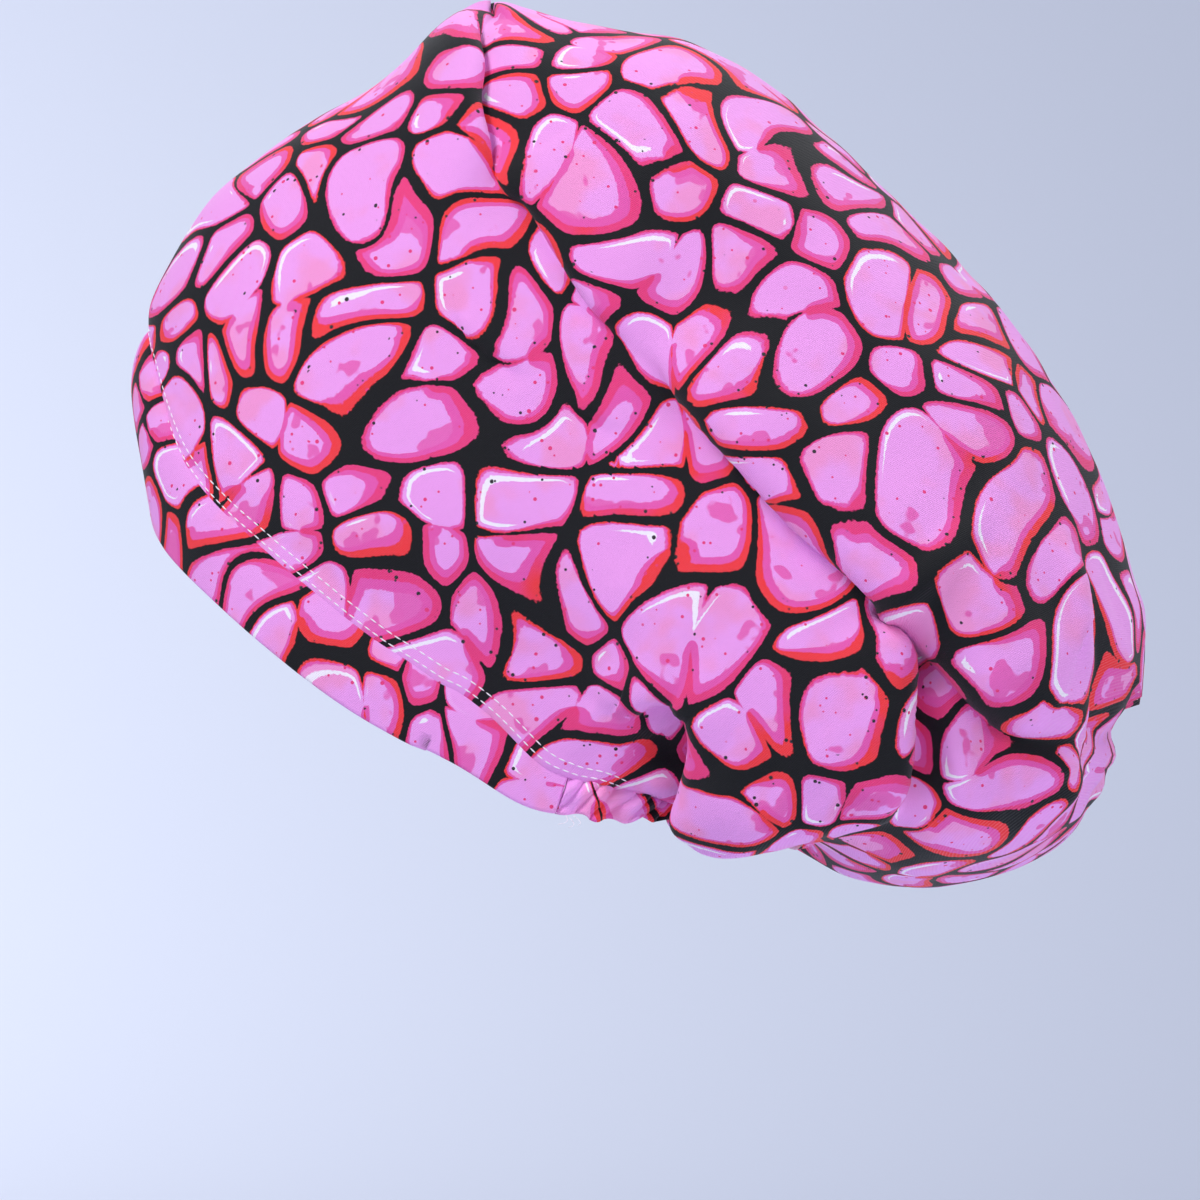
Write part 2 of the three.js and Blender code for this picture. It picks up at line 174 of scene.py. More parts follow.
# Swells of the cloth where it hangs free behind the head, and where it lies on it: height, length and seed.
BEHIND_HEAD = (-40, 60)
HANGING_SWELLS = [(1.5, 75, 6), (0.5, 24, 7)]
LYING_SWELL = (0.5, 60, 8)


def smoothstep(value, low, high):
    t = np.clip((np.asarray(value, float) - low) / (high - low), 0, 1)
    return t * t * (3 - 2 * t)


def slopes(column):
    values = SECTIONS[:, COLUMNS.index(column)]
    found = np.gradient(values)
    if column == "seam":
        found[0] = found[-1] = 0
    return found


def read(column, station):
    """A column's value between rows, by cubic interpolation."""
    values, slope = SECTIONS[:, COLUMNS.index(column)], slopes(column)
    index = np.clip(np.floor(station).astype(int), 0, LAST_ROW - 1)
    t = station - index
    start, end, leave, arrive = values[index], values[index + 1], slope[index], slope[index + 1]
    bend = 2 * start - 2 * end + leave + arrive
    lift = 3 * (end - start) - 2 * leave - arrive
    return ((bend * t + lift) * t + leave) * t + start


def power(value, exponent):
    return np.sign(value) * np.abs(value) ** exponent


def ring_point(station):
    angle = np.radians(read("angle", station))
    exponent = 2 / RING_SQUARENESS
    across = RING_WIDTH / 2 * power(np.sin(angle), exponent)
    behind = -RING_LENGTH / 2 * power(np.cos(angle), exponent)
    return np.stack([across, behind, CROWN_HEIGHT * read("seam", station)], axis=-1)


def unit(vectors):
    return vectors / np.maximum(np.linalg.norm(vectors, axis=-1, keepdims=True), 1e-9)


def seam_frame(station):
    """Directions at the seam: out from the head, and down along the band."""
    degrees = np.minimum(read("angle", station), 180)
    angle = np.radians(degrees)
    turn = 2 - 2 / RING_SQUARENESS
    across = np.abs(np.sin(angle)) ** turn / RING_WIDTH
    behind = -power(np.cos(angle), turn) / RING_LENGTH
    out = unit(np.stack([across, behind, 0 * behind], axis=-1))
    run = ring_point(station + 0.05) - ring_point(station - 0.05)
    square = unit(np.cross(run, out))
    share = smoothstep(degrees, *DOWN_TURN)[..., None]
    down = unit(np.array([0, 0, -1.0]) * (1 - share) + square * share)
    return out, down


def gather(station):
    behind = (read("angle", station) - CASING_START) / (180 - CASING_START)
    fade = smoothstep(behind, 0, GATHER_FADE) * smoothstep(1 - behind, 0, GATHER_FADE)
    return GATHER_DEPTH / 2 * fade * (1 - np.cos(2 * math.pi * GATHERS * np.maximum(behind, 0)))


def seam_point(station):
    out, _ = seam_frame(station)
    return ring_point(station) + out * gather(station)[..., None]


def crest_point(station):
    behind = -RING_LENGTH / 2 + CROWN_LENGTH * read("along", station)
    return np.stack([0 * behind, behind, CROWN_HEIGHT * read("height", station)], axis=-1)


def bezier(points, t):
    shares = [(1 - t) ** 3, 3 * (1 - t) ** 2 * t, 3 * (1 - t) * t**2, t**3]
    return sum(share[..., None] * point for share, point in zip(shares, points))


def smooth_crown(station, up):
    """Points of the crown before folding. up runs from 0 at the seam to 1 at the middle line."""
    seam, crest = seam_point(station), crest_point(station)
    out, down = seam_frame(station)
    lean = np.radians(read("lean", station))[..., None]
    widest = seam + (crest - seam) * read("place", station)[..., None]
    widest[..., 0] = seam[..., 0] + (BAG_WIDTH / 2 - seam[..., 0]) * read("wide", station)
    aside = (widest - seam) * [1, 1, 0] / RING_WIDTH
    aside = unit(aside + OUTWARD * out)
    leave = aside * np.sin(lean) - down * np.cos(lean)
    onward = (crest - widest) * [0, 1, 1]
    rise = np.linalg.norm(widest - seam, axis=-1, keepdims=True)
    shoulder = crest * [0, 1, 1] + widest * [SHOULDER, 0, 0]
    low = [seam, seam + leave * LEAVE * rise, widest - unit(onward) * ARRIVE * rise, widest]
    high = [widest, widest + onward * ROUND, shoulder, crest]
    below = bezier(low, np.clip(up / WIDEST, 0, 1))
    above = bezier(high, np.clip((up - WIDEST) / (1 - WIDEST), 0, 1))
    return np.where((up < WIDEST)[..., None], below, above)


def waves(points, length, seed, count=7):
    """Gentle uneven swells of about the given length, between -1 and 1."""
    rng = np.random.default_rng(seed)
    total = np.zeros(points.shape[:-1])
    for _ in range(count):
        direction = unit(rng.normal(size=3))
        phase, stretch = rng.uniform(0, 2 * math.pi), rng.uniform(0.75, 1.35)
        total += np.sin(points @ direction * (2 * math.pi / (length * stretch)) + phase)
    return total / math.sqrt(2 * count)


def fold_curve(pixels):
    """A smooth curve through a fold's points, seen from the side."""
    points = np.stack(from_photo(*np.array(pixels, float).T), axis=-1)
    before = np.vstack([2 * points[0] - points[1], points[:-1]])
    after = np.vstack([points[1:], 2 * points[-1] - points[-2]])
    slope = (after - before) / 2
    curve = []
    for i in range(len(points) - 1):
        for t in np.linspace(0, 1, FOLD_SAMPLES, endpoint=False):
            ease = t * t * (3 - 2 * t)
            along = points[i] * (1 - ease) + points[i + 1] * ease
            leave, arrive = slope[i] * t * (1 - t) ** 2, slope[i + 1] * t**2 * (1 - t)
            curve.append(along + leave - arrive)
    return np.array(curve + [points[-1]])


def beside(curve, places):
    """Signed distance from a curve, positive on its left, the share of its length, and the way across."""
    best = np.full(len(places), np.inf)
    signed, share = np.zeros(len(places)), np.zeros(len(places))
    across = np.zeros((len(places), 2))
    for i in range(len(curve) - 1):
        run = curve[i + 1] - curve[i]
        way = places - curve[i]
        t = np.clip(way @ run / (run @ run), 0, 1)
        gap = way - t[:, None] * run
        distance = np.linalg.norm(gap, axis=1)
        near = distance < best
        best[near] = distance[near]
        left = np.sign(run[0] * way[:, 1] - run[1] * way[:, 0])
        signed[near] = (distance * left)[near]
        share[near] = ((i + t) / (len(curve) - 1))[near]
        across[near] = np.array([-run[1], run[0]]) / np.linalg.norm(run)
    return signed, share, across


def fold(points, normals, ups):
    """Moves the points of the smooth crown into its folds."""
    places = points[:, 1:].copy()
    far = points[:, 0] < 0
    for axis, length, seed in zip((0, 1), FAR_LENGTHS, (3, 4)):
        places[far, axis] += FAR_SHIFT * waves(points[far], length, seed)
    lift = np.zeros(len(points))
    slide = np.zeros((len(points), 2))
    for pixels, values in FOLDS.values():
        facts = dict(zip(FOLD_FACTS, values))
        signed, share, across = beside(fold_curve(pixels), places)
        signed, across = signed * facts["side"], across * facts["side"]
        s = signed / facts["width"]
        fade = smoothstep(share, 0, facts["start"] + 1e-3)
        fade = fade * smoothstep(1 - share, 0, facts["finish"] + 1e-3)
        if not facts["across"]:
            fade = fade * smoothstep(1 - ups, *MIDDLE_FADE)
        ridge_width = np.where(s > RIDGE_PLACE, RIDGE_FAR, RIDGE_NEAR)
        ridge = facts["ridge"] * np.exp(-(((s - RIDGE_PLACE) / ridge_width) ** 2))
        groove = facts["groove"] * np.exp(-((s / np.where(s > 0, GROOVE_ABOVE, GROOVE_BELOW)) ** 2))
        over = smoothstep(s, LAP_STARTS, LAP_FULL)
        over = over * np.exp(-(np.maximum(s - LAP_FULL, 0) / LAP_REACH) ** 2)
        lift += fade * (ridge - groove)
        slide -= (fade * facts["lap"] * over)[:, None] * across
    for pixels, values in PULLS.values():
        facts = dict(zip(PULL_FACTS, values))
        away = np.linalg.norm(places - np.array(from_photo(*pixels[0])), axis=1)
        share = np.exp(-((away / facts["reach"]) ** 2)) * smoothstep(np.abs(points[:, 0]), *PULL_SIDE)
        slide += share[:, None] * np.array([facts["back"], facts["up"]])
        lift += share * facts["out"]
    low = smoothstep(ups, 0.0, SEAM_FADE)
    pinch = places - np.array(from_photo(*PINCH_PIXEL))
    distance = np.linalg.norm(pinch, axis=1)
    turn = np.arctan2(pinch[:, 1], pinch[:, 0])
    rays = np.cos(PINCH_CREASES * turn + PINCH_WOBBLE * waves(points, 60, 5))
    reach = np.exp(-((distance / PINCH_REACH) ** 2)) * smoothstep(distance, *PINCH_HEART)
    lift += PINCH_DEPTH * rays * reach - PINCH_DROP * np.exp(-((distance / PINCH_DROP_REACH) ** 2))
    dimple = np.linalg.norm(places - np.array(from_photo(*DIMPLE_PIXEL)), axis=1)
    lift -= DIMPLE_DEPTH * np.exp(-((dimple / DIMPLE_REACH) ** 2))
    behind = smoothstep(points[:, 1], *BEHIND_HEAD)
    for height, length, seed in HANGING_SWELLS:
        lift += height * waves(points, length, seed) * behind
    height, length, seed = LYING_SWELL
    lift += height * waves(points, length, seed) * (1 - behind)
    moved = points + normals * (lift * low)[:, None]
    flat = np.concatenate([np.zeros((len(points), 1)), slide * low[:, None]], axis=1)
    flat -= normals * np.sum(flat * normals, axis=1, keepdims=True) * SLIDE_KEPT_LEVEL
    return moved + flat


def grid_faces(rows, columns, close=False):
    """Quads of a grid of points, whose last column meets its first where it closes."""
    i, j = np.meshgrid(np.arange(rows - 1), np.arange(columns if close else columns - 1), indexing="ij")
    k = (j + 1) % columns
    near, far = i * columns, (i + 1) * columns
    return np.stack([near + j, near + k, far + k, far + j], axis=-1).reshape(-1, 4)


def grid_normals(points):
    along = np.gradient(points, axis=0)
    across = np.gradient(points, axis=1)
    return unit(np.cross(across, along))


def make_piece(name, points, faces):
    """A mesh object from millimetre points."""
    mesh = bpy.data.meshes.new(name)
    mesh.from_pydata((points * MM).tolist(), [], [list(face) for face in faces.tolist()])
    mesh.validate()
    mesh.polygons.foreach_set("use_smooth", [True] * len(mesh.polygons))
    piece = bpy.data.objects.new(name, mesh)
    bpy.context.collection.objects.link(piece)
    return piece


def crown_grid(stations, steps_up):
    """Smooth and folded points of the crown, from the right seam over the middle to the left seam."""
    side = np.linspace(-1, 1, 2 * steps_up + 1)
    station, across = np.meshgrid(stations, side, indexing="ij")
    up = 1 - np.abs(across)
    smooth = smooth_crown(station, up)
    smooth[..., 0] *= np.sign(across)
    normals = grid_normals(smooth)
    shape = smooth.shape
    folded = fold(smooth.reshape(-1, 3), normals.reshape(-1, 3), up.reshape(-1)).reshape(shape)
    lift = HEM_LIFT * (1 - smoothstep(up, 0.0, 0.05))
    return smooth, folded + normals * lift[..., None], normals


def turned_hem(points, edge, inner, normals):
    """The folded edge of the cloth at one side of a grid: round the edge and a little way back under it."""
    back = unit(points[:, inner] - points[:, edge])
    out = normals[:, edge]
    start = points[:, edge]
    turn = [start - out * 0.3 * HEM_LIFT - back * 0.25, start - out * 0.9 * HEM_LIFT - back * 0.1]
    return np.stack([*turn, start - out * HEM_LIFT + back * HEM_TURN], axis=1)


crown_stations = np.linspace(0.02, LAST_ROW - 0.02, LAST_ROW * CROWN_STEPS_PER_ROW + 1)
crown_smooth, crown_points, crown_normals = crown_grid(crown_stations, CROWN_STEPS_UP)
right_hem = turned_hem(crown_points, 0, 2, crown_normals)[:, ::-1]
left_hem = turned_hem(crown_points, -1, -3, crown_normals)
crown_points = np.concatenate([right_hem, crown_points, left_hem], axis=1)
crown_smooth = np.concatenate([right_hem, crown_smooth, left_hem], axis=1)
crown_faces = grid_faces(*crown_smooth.shape[:2])
crown = make_piece("crown_cloth", crown_points.reshape(-1, 3), crown_faces)

# Printed cotton twill. The cloth of the crown, the band and the casing is one print: pebble shapes in
# lilac pink with thick black outlines, shaded along one side in magenta and red, with white glints and
# fine speckles. Each pebble grows round a seed on the cloth, and some are joined in pairs. Under the ink
# lie the twill's fine ribs.
PEBBLE_SPACING = 18.5
PEBBLE_WARP, PEBBLE_WARP_LENGTH = 10.0, 52.0
PEBBLE_ROUND = 1.6  # how far the corners of a pebble are rounded
JOINED_SHARE = 0.9
SEED_TRIES = 9000


def seeds_on(points, spacing, seed):
    """Well-spread points of the cloth, and the pebble that each belongs to."""
    rng = np.random.default_rng(seed)
    found = []
    for pick in rng.integers(0, len(points), SEED_TRIES):
        point = points[pick]
        if not found or np.min(np.linalg.norm(np.array(found) - point, axis=1)) > spacing:
            found.append(point)
    found = np.array(found)
    pebble = np.arange(len(found))
    apart = np.linalg.norm(found[:, None] - found[None], axis=-1) + np.eye(len(found)) * 1e6
    for i in range(len(found)):
        near = int(np.argmin(apart[i]))
        if rng.random() < JOINED_SHARE and pebble[near] == near and pebble[i] == i:
            pebble[near] = i
    return found, pebble


def print_on(piece, flat_points, faces, seed):
    """Stores at each corner of each face how far it is inside its pebble's edge, where in the pebble it lies, a
    number that is the pebble's own, and how far it is from the line where two joined halves meet."""
    warp = np.stack([waves(flat_points, PEBBLE_WARP_LENGTH, seed + n) for n in (11, 12, 13)], axis=-1)
    places = flat_points + PEBBLE_WARP * warp
    seeds, pebble = seeds_on(places, PEBBLE_SPACING, seed)
    count = len(seeds)
    own_number = np.random.default_rng(seed + 1).random(count)
    member = pebble[None] == np.arange(count)[:, None]
    middles = member @ seeds / np.maximum(member.sum(axis=1), 1)[:, None]
    partner = np.arange(count)
    for i in range(count):
        if pebble[i] != i:
            partner[i], partner[pebble[i]] = pebble[i], i
    apart = np.linalg.norm(seeds[:, None] - seeds[None], axis=-1) + np.eye(count)
    corners = places[faces].reshape(-1, 3)
    owner = np.zeros(len(faces), int)
    for first in range(0, len(faces), 8000):
        centres = places[faces[first:first + 8000]].mean(axis=1)
        gaps = np.linalg.norm(centres[:, None] - seeds[None], axis=-1)
        owner[first:first + 8000] = pebble[np.argmin(gaps, axis=1)]
    owner = np.repeat(owner, 4)
    stored = np.zeros((len(corners), 4), np.float32)
    joined = np.zeros(len(corners), np.float32)
    for first in range(0, len(corners), 8000):
        part = slice(first, first + 8000)
        mine = owner[part]
        gap = np.linalg.norm(corners[part, None] - seeds[None], axis=-1)
        same = pebble[None] == mine[:, None]
        own = np.argmin(np.where(same, gap, 1e6), axis=1)
        own_gap = np.take_along_axis(gap, own[:, None], axis=1)
        inside = (gap**2 - own_gap**2) / (2 * apart[own])
        inside = np.where(same, 1e3, np.maximum(inside, -20))
        stored[part, 0] = -PEBBLE_ROUND * np.log(np.exp(-inside / PEBBLE_ROUND).sum(axis=1))
        way = corners[part] - middles[mine]
        stored[part, 1] = way[:, 1] - 0.3 * way[:, 0]
        stored[part, 2] = way[:, 2] - 0.3 * way[:, 0]
        stored[part, 3] = own_number[mine]
        other = partner[mine]
        gap_first = np.linalg.norm(corners[part] - seeds[mine], axis=1)
        gap_other = np.linalg.norm(corners[part] - seeds[other], axis=1)
        between = (gap_other**2 - gap_first**2) / (2 * apart[mine, other])
        joined[part] = np.where(other == mine, 99, between)
    attributes = piece.data.attributes
    attributes.new("pebble", "FLOAT_COLOR", "CORNER").data.foreach_set("color", stored.reshape(-1))
    attributes.new("joint", "FLOAT", "CORNER").data.foreach_set("value", joined)


class Value:
    """A shader number, on which plain arithmetic adds Math nodes."""

    def __init__(self, tree, socket):
        self.tree, self.socket = tree, socket

    def math(self, operation, *others):
        return self.tree.node("ShaderNodeMath", {"operation": operation}, [self, *others])

    def __add__(self, other):
        return self.math("ADD", other)

    def __sub__(self, other):
        return self.math("SUBTRACT", other)

    def __mul__(self, other):
        return self.math("MULTIPLY", other)

    def __truediv__(self, other):
        return self.math("DIVIDE", other)

    def __rsub__(self, other):
        return self.tree.node("ShaderNodeMath", {"operation": "SUBTRACT"}, [other, self])

    __radd__, __rmul__ = __add__, __mul__

    def steps(self, low, high):
        """0 at low and 1 at high, with a soft change between them."""
        names = {"Value": self, "From Min": low, "From Max": high}
        return self.tree.node("ShaderNodeMapRange", {"interpolation_type": "SMOOTHSTEP"}, names)


class Shader:
    """Builds one material's nodes."""

    def __init__(self, name):
        self.material = bpy.data.materials.new(name)
        self.material.use_nodes = True
        self.tree = self.material.node_tree
        self.surface = self.tree.nodes["Principled BSDF"]

    def node(self, kind, settings=None, inputs=(), output=0):
        made = self.tree.nodes.new(kind)
        for name, value in (settings or {}).items():
            setattr(made, name, value)
        named = inputs.items() if isinstance(inputs, dict) else enumerate(inputs)
        for name, value in named:
            self.feed(made.inputs[name], value)
        return Value(self, made.outputs[output])

    def feed(self, socket, value):
        if isinstance(value, Value):
            self.tree.links.new(value.socket, socket)
        else:
            socket.default_value = value

    def mix(self, share, first, second):
        made = self.tree.nodes.new("ShaderNodeMix")
        made.data_type = "RGBA"
        for socket, value in zip((made.inputs[0], made.inputs[6], made.inputs[7]), (share, first, second)):
            self.feed(socket, value)
        return Value(self, made.outputs[2])

    def output(self, value, name):
        return Value(self, value.socket.node.outputs[name])


def srgb(red, green, blue):
    """A colour on the shader's linear scale from its 0 to 255 values."""
    linear = [((c / 255 + 0.055) / 1.055) ** 2.4 if c > 10 else c / 255 / 12.92 for c in (red, green, blue)]
    return (*linear, 1)


LILAC, ROSE = srgb(244, 160, 238), srgb(250, 142, 188)
MAGENTA, HOT_PINK, RED = srgb(236, 82, 176), srgb(238, 44, 122), srgb(246, 38, 46)
INK, GLINT = srgb(10, 11, 17), srgb(252, 244, 255)
UNPRINTED = srgb(244, 226, 240)
LINE_WIDTH, LINE_SWING, LINE_LEAST = 1.45, 2.6, 1.1  # half the width of an outline, how far it varies, in mm
HOOK_GROWTH, HOOK_LEAST = 0.4, 0.06  # how fast the line between two joined halves thins out
EDGE_SOFTNESS, INK_ROUNDING = 0.15, 1.5
SHADE_WIDTH, SHADE_LEAST, DEEP_SHARE = 3.6, 1.0, 0.52  # the shaded band of a pebble and its deeper inner part
GLINT_PLACE, GLINT_HALF_WIDTH = 2.6, 0.85
RIB_PITCH = 0.6 * MM
RIB_HEIGHT = 0.12 * MM
SHADE_TURN = 1.1  # how far the shaded side of a pebble may turn from its lower right, in radians


def printed_twill(name, show_through):
    """The print on the face of the cloth, or as far as it shows through on the reverse."""
    s = Shader(name)
    place = s.output(s.node("ShaderNodeTexCoord"), "Object")
    pebble = s.node("ShaderNodeAttribute", {"attribute_name": "pebble"})
    parts = s.node("ShaderNodeSeparateColor", inputs=[pebble])
    right, high = s.output(parts, "Green"), s.output(parts, "Blue")
    number = s.output(pebble, "Alpha")
    joint = s.node("ShaderNodeAttribute", {"attribute_name": "joint"}, output=2).math("ABSOLUTE")

    def noise(scale, detail=2.0):
        names = {"Vector": place, "Scale": scale, "Detail": detail}
        return s.node("ShaderNodeTexNoise", inputs=names) - 0.5

    slow, middling, fine = noise(28.0), noise(130.0), noise(900.0)
    line = (slow * LINE_SWING + LINE_WIDTH).math("MAXIMUM", LINE_LEAST)
    reach = (number * 5.3).math("FRACT") * HOOK_GROWTH + HOOK_LEAST
    tail = joint * 0.9 + parts * reach
    inked = parts.math("SMOOTH_MIN", tail, INK_ROUNDING) + middling * 1.2 + fine * 0.8
    from_line = inked - line

    turn = (number - 0.5) * (2 * SHADE_TURN) - 0.7
    far = (right * right + high * high).math("SQRT") + 0.5
    side = (right * turn.math("COSINE") + high * turn.math("SINE")) / far
    shade = side.steps(-0.6, 0.9) * SHADE_WIDTH + middling * 2.2 + SHADE_LEAST
    reddish = ((number * 7.13).math("FRACT") + slow * 1.4).steps(0.42, 0.58)

    body = s.mix((slow + noise(60.0)).steps(-0.02, 0.2) * 0.55, LILAC, ROSE)
    patch = (noise(75.0) + side * 0.1).steps(0.14, 0.17) * 0.85
    body = s.mix(patch, body, MAGENTA)
    body = s.mix(1 - (from_line - shade).steps(-EDGE_SOFTNESS, EDGE_SOFTNESS), body, MAGENTA)
    deep = s.mix(reddish, HOT_PINK, RED)
    deep_edge = (from_line - shade * DEEP_SHARE).steps(-EDGE_SOFTNESS, EDGE_SOFTNESS)
    body = s.mix(1 - deep_edge, body, deep)

    glint_side = (0 - side).steps(0.7, 1.0)
    glint_place = (from_line - GLINT_PLACE - middling * 1.2).math("ABSOLUTE")
    has_glint = (number * 3.7).math("FRACT").steps(0.2, 0.22)
    glint = (glint_side * GLINT_HALF_WIDTH - glint_place).steps(0.0, 0.2) * has_glint
    body = s.mix(glint, body, GLINT)

    names = {"Vector": place, "Scale": 420.0}
    dot = s.node("ShaderNodeTexVoronoi", inputs=names)
    dot_number = s.node("ShaderNodeSeparateColor", inputs=[s.output(dot, "Color")])
    size = s.output(dot_number, "Green") * 0.2 + 0.12
    on = (size - dot).steps(-0.02, 0.03)
    near = 1 - from_line.steps(1.5, 7.0)
    red_dot = on * s.output(dot_number, "Blue").steps(0.86, 0.87)
    body = s.mix(red_dot, body, HOT_PINK)
    black_dot = on * (dot_number * 1.0 + near * 0.22).steps(1.06, 1.07)
    body = s.mix(black_dot, body, INK)
    colour = s.mix(1 - from_line.steps(-0.1, 0.15), body, INK)

    across = s.node("ShaderNodeSeparateXYZ", inputs=[place])
    run = s.output(across, "Y") - s.output(across, "Z") * 1.25 + s.output(across, "X") * 0.35
    rib = (run * (2 * math.pi / (1.6 * RIB_PITCH))).math("SINE")
    weave = noise(2600.0, 1.0)
    faded = (rib * 0.1 + weave * 0.22 + 0.09) * (from_line.steps(-0.1, 0.15) * 0.93 + 0.07)
    worn = s.mix(faded.steps(0.0, 1.0), colour, srgb(255, 228, 248))
    if show_through < 1:
        worn = s.mix(weave * 0.1 + show_through, UNPRINTED, worn)
    s.feed(s.surface.inputs["Base Color"], worn)
    s.feed(s.surface.inputs["Roughness"], weave * 0.15 + 0.82)
    height = rib * 0.5 + weave * 1.6 + noise(170.0) * 2.0
    names = {"Height": height, "Strength": 0.7, "Distance": RIB_HEIGHT}
    bump = s.node("ShaderNodeBump", inputs=names)
    s.feed(s.surface.inputs["Normal"], bump)
    s.surface.inputs["Specular IOR Level"].default_value = 0.3
    s.surface.inputs["Sheen Weight"].default_value = 0.12
    s.surface.inputs["Sheen Roughness"].default_value = 0.5
    return s.material


twill = printed_twill("printed_twill", 1)
print_on(crown, crown_smooth.reshape(-1, 3), crown_faces, 40)
crown.data.materials.append(twill)
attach(crown, "root")
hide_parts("crown")

# Reverse of the crown's cloth, which only the inside of the cap shows. The twill is printed on its face alone,
# so the print shows through pale on this side. It is the same sheet, and lies just inside the face.
REVERSE_DEPTH = 0.9
REVERSE_MARGIN = 5  # columns of the crown's mesh at each hem, where the cloth is turned under
inside = np.s_[:, REVERSE_MARGIN:-REVERSE_MARGIN]
reverse_points = (crown_points - grid_normals(crown_points) * REVERSE_DEPTH)[inside]
reverse_faces = grid_faces(*reverse_points.shape[:2])[:, ::-1]
reverse = make_piece("crown_reverse", reverse_points.reshape(-1, 3), reverse_faces)
print_on(reverse, crown_smooth[inside].reshape(-1, 3), reverse_faces, 40)
reverse.data.materials.append(printed_twill("twill_reverse", 0.4))
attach(reverse, "root")

# Front band. A folded double strip of the same cloth across the forehead, ear to ear. Its raw edge is
# sewn under the crown's hem, and its folded edge rolls out a little and comes back to the skin.
BAND_DEPTH, BAND_CLOTH, BAND_ROLL = 34.0, 2.4, 6.0
ROLL_TURN, ROLL_LIFT = 0.78, 0.7
BAND_STEPS_PER_ROW, STRIP_STEPS = 12, 22
TUCK = 2.5  # how far a strip's top edge runs up behind the crown's hem
EAR_ROW = int(np.argmax(SECTIONS[:, 0] == CASING_START))


def strip(name, stations, sides, cloth, depth, profile, seed):
    """A doubled strip of cloth below the seam, closed at its folded hem and at its ends."""
    shares = np.linspace(0, 1, STRIP_STEPS)
    hem = np.linspace(0, math.pi, 7)[1:-1]
    share = np.concatenate([shares, np.ones(5), shares[::-1]])
    inward = np.concatenate([np.zeros(STRIP_STEPS), (1 - np.cos(hem)) / 2, np.ones(STRIP_STEPS)])
    below = np.concatenate([np.zeros(STRIP_STEPS), np.sin(hem) / 2, np.zeros(STRIP_STEPS)])
    station, share = np.meshgrid(stations, share, indexing="ij")
    out, down = seam_frame(station)
    seam = seam_point(station)
    reach = depth(station) - cloth / 2
    offset = profile(station, share) - cloth * inward - 0.2
    points = seam + out * offset[..., None]
    points += down * (share * (reach + TUCK) - TUCK + cloth * below)[..., None]
    points[..., 0] *= sides[:, None]
    rows, columns = share.shape
    near = np.arange(columns // 2)
    end = np.stack([near, near + 1, columns - 2 - near, columns - 1 - near], axis=-1)[:-1]
    walls = grid_faces(rows, columns, close=True)
    faces = np.concatenate([walls, end[:, ::-1], end + (rows - 1) * columns])
    made = make_piece(name, points.reshape(-1, 3), faces)
    flat = points.reshape(-1, 3) + (out * inward[None, :, None] * 4).reshape(-1, 3)
    print_on(made, flat, faces, seed)
    made.data.materials.append(twill)
    return made


def round_the_head(middle, ear, steps, first_side):
    """Stations and sides of a walk from one ear over the middle line to the other ear."""
    half = np.linspace(middle, ear, steps)
    sides = np.repeat([first_side, -first_side], [steps, steps - 1])
    return np.concatenate([half[::-1], half[1:]]), sides


def band_depth(station):
    return BAND_DEPTH * read("depth", station)


def band_profile(station, share):
    roll = BAND_ROLL * read("depth", station) ** 2 * np.sin(ROLL_TURN * math.pi * share**ROLL_LIFT)
    along = np.stack([20 * station, 5 * share, 0 * share], axis=-1)
    return roll + 0.35 * waves(along, 26, 21) * np.sin(math.pi * share)


band_walk = round_the_head(0.001, EAR_ROW - 0.02, EAR_ROW * BAND_STEPS_PER_ROW, -1)
band = strip("front_band_cloth", *band_walk, BAND_CLOTH, band_depth, band_profile, 70)
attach(band, "root")
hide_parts("front_band")

# Nape casing. A narrow tunnel of the same cloth from ear to ear round the nape, drawn up by the elastic
# inside it into slanting ruffles.
CASING_DEPTH, CASING_CLOTH, CASING_PUFF = 12.0, 2.2, 2.0
CASING_STEPS_PER_ROW = 44
RUFFLES, RUFFLE_DEPTH, RUFFLE_SLANT = 21, 1.9, -1.5


def casing_depth(station):
    behind = (read("angle", station) - CASING_START) / (180 - CASING_START)
    narrowing = 1 - 0.35 * smoothstep(behind, 0.1, 0.3)
    return CASING_DEPTH * narrowing + 0.9 * np.cos(math.pi * RUFFLES * behind)


def casing_profile(station, share):
    behind = (read("angle", station) - CASING_START) / (180 - CASING_START)
    puff = CASING_PUFF * np.sin(math.pi * share) ** 2
    phase = RUFFLES * behind - RUFFLE_SLANT * share + 0.35 * np.sin(17 * behind)
    crease = np.abs(np.cos(math.pi * phase)) ** 0.7
    return puff + RUFFLE_DEPTH * (crease - 0.6) * smoothstep(share, -0.1, 0.3)


casing_steps = (LAST_ROW - EAR_ROW) * CASING_STEPS_PER_ROW
casing_walk = round_the_head(LAST_ROW - 0.001, EAR_ROW + 0.02, casing_steps, 1)
casing = strip("nape_casing_cloth", *casing_walk, CASING_CLOTH, casing_depth, casing_profile, 90)
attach(casing, "root")
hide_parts("nape_casing")

# Topstitching. Two rows of white cotton thread hold the crown's folded hem down, round the front from
# behind one ear to behind the other. The thread's cut ends stick out where the casing begins.
ROW_PLACES = (2.0, 5.2)  # how far each row lies from the hem's edge
STITCH_PITCH, STITCH_LENGTH, THREAD_WIDTH = 3.2, 2.6, 0.5
LAST_STITCHED_ROW = EAR_ROW + 1.6


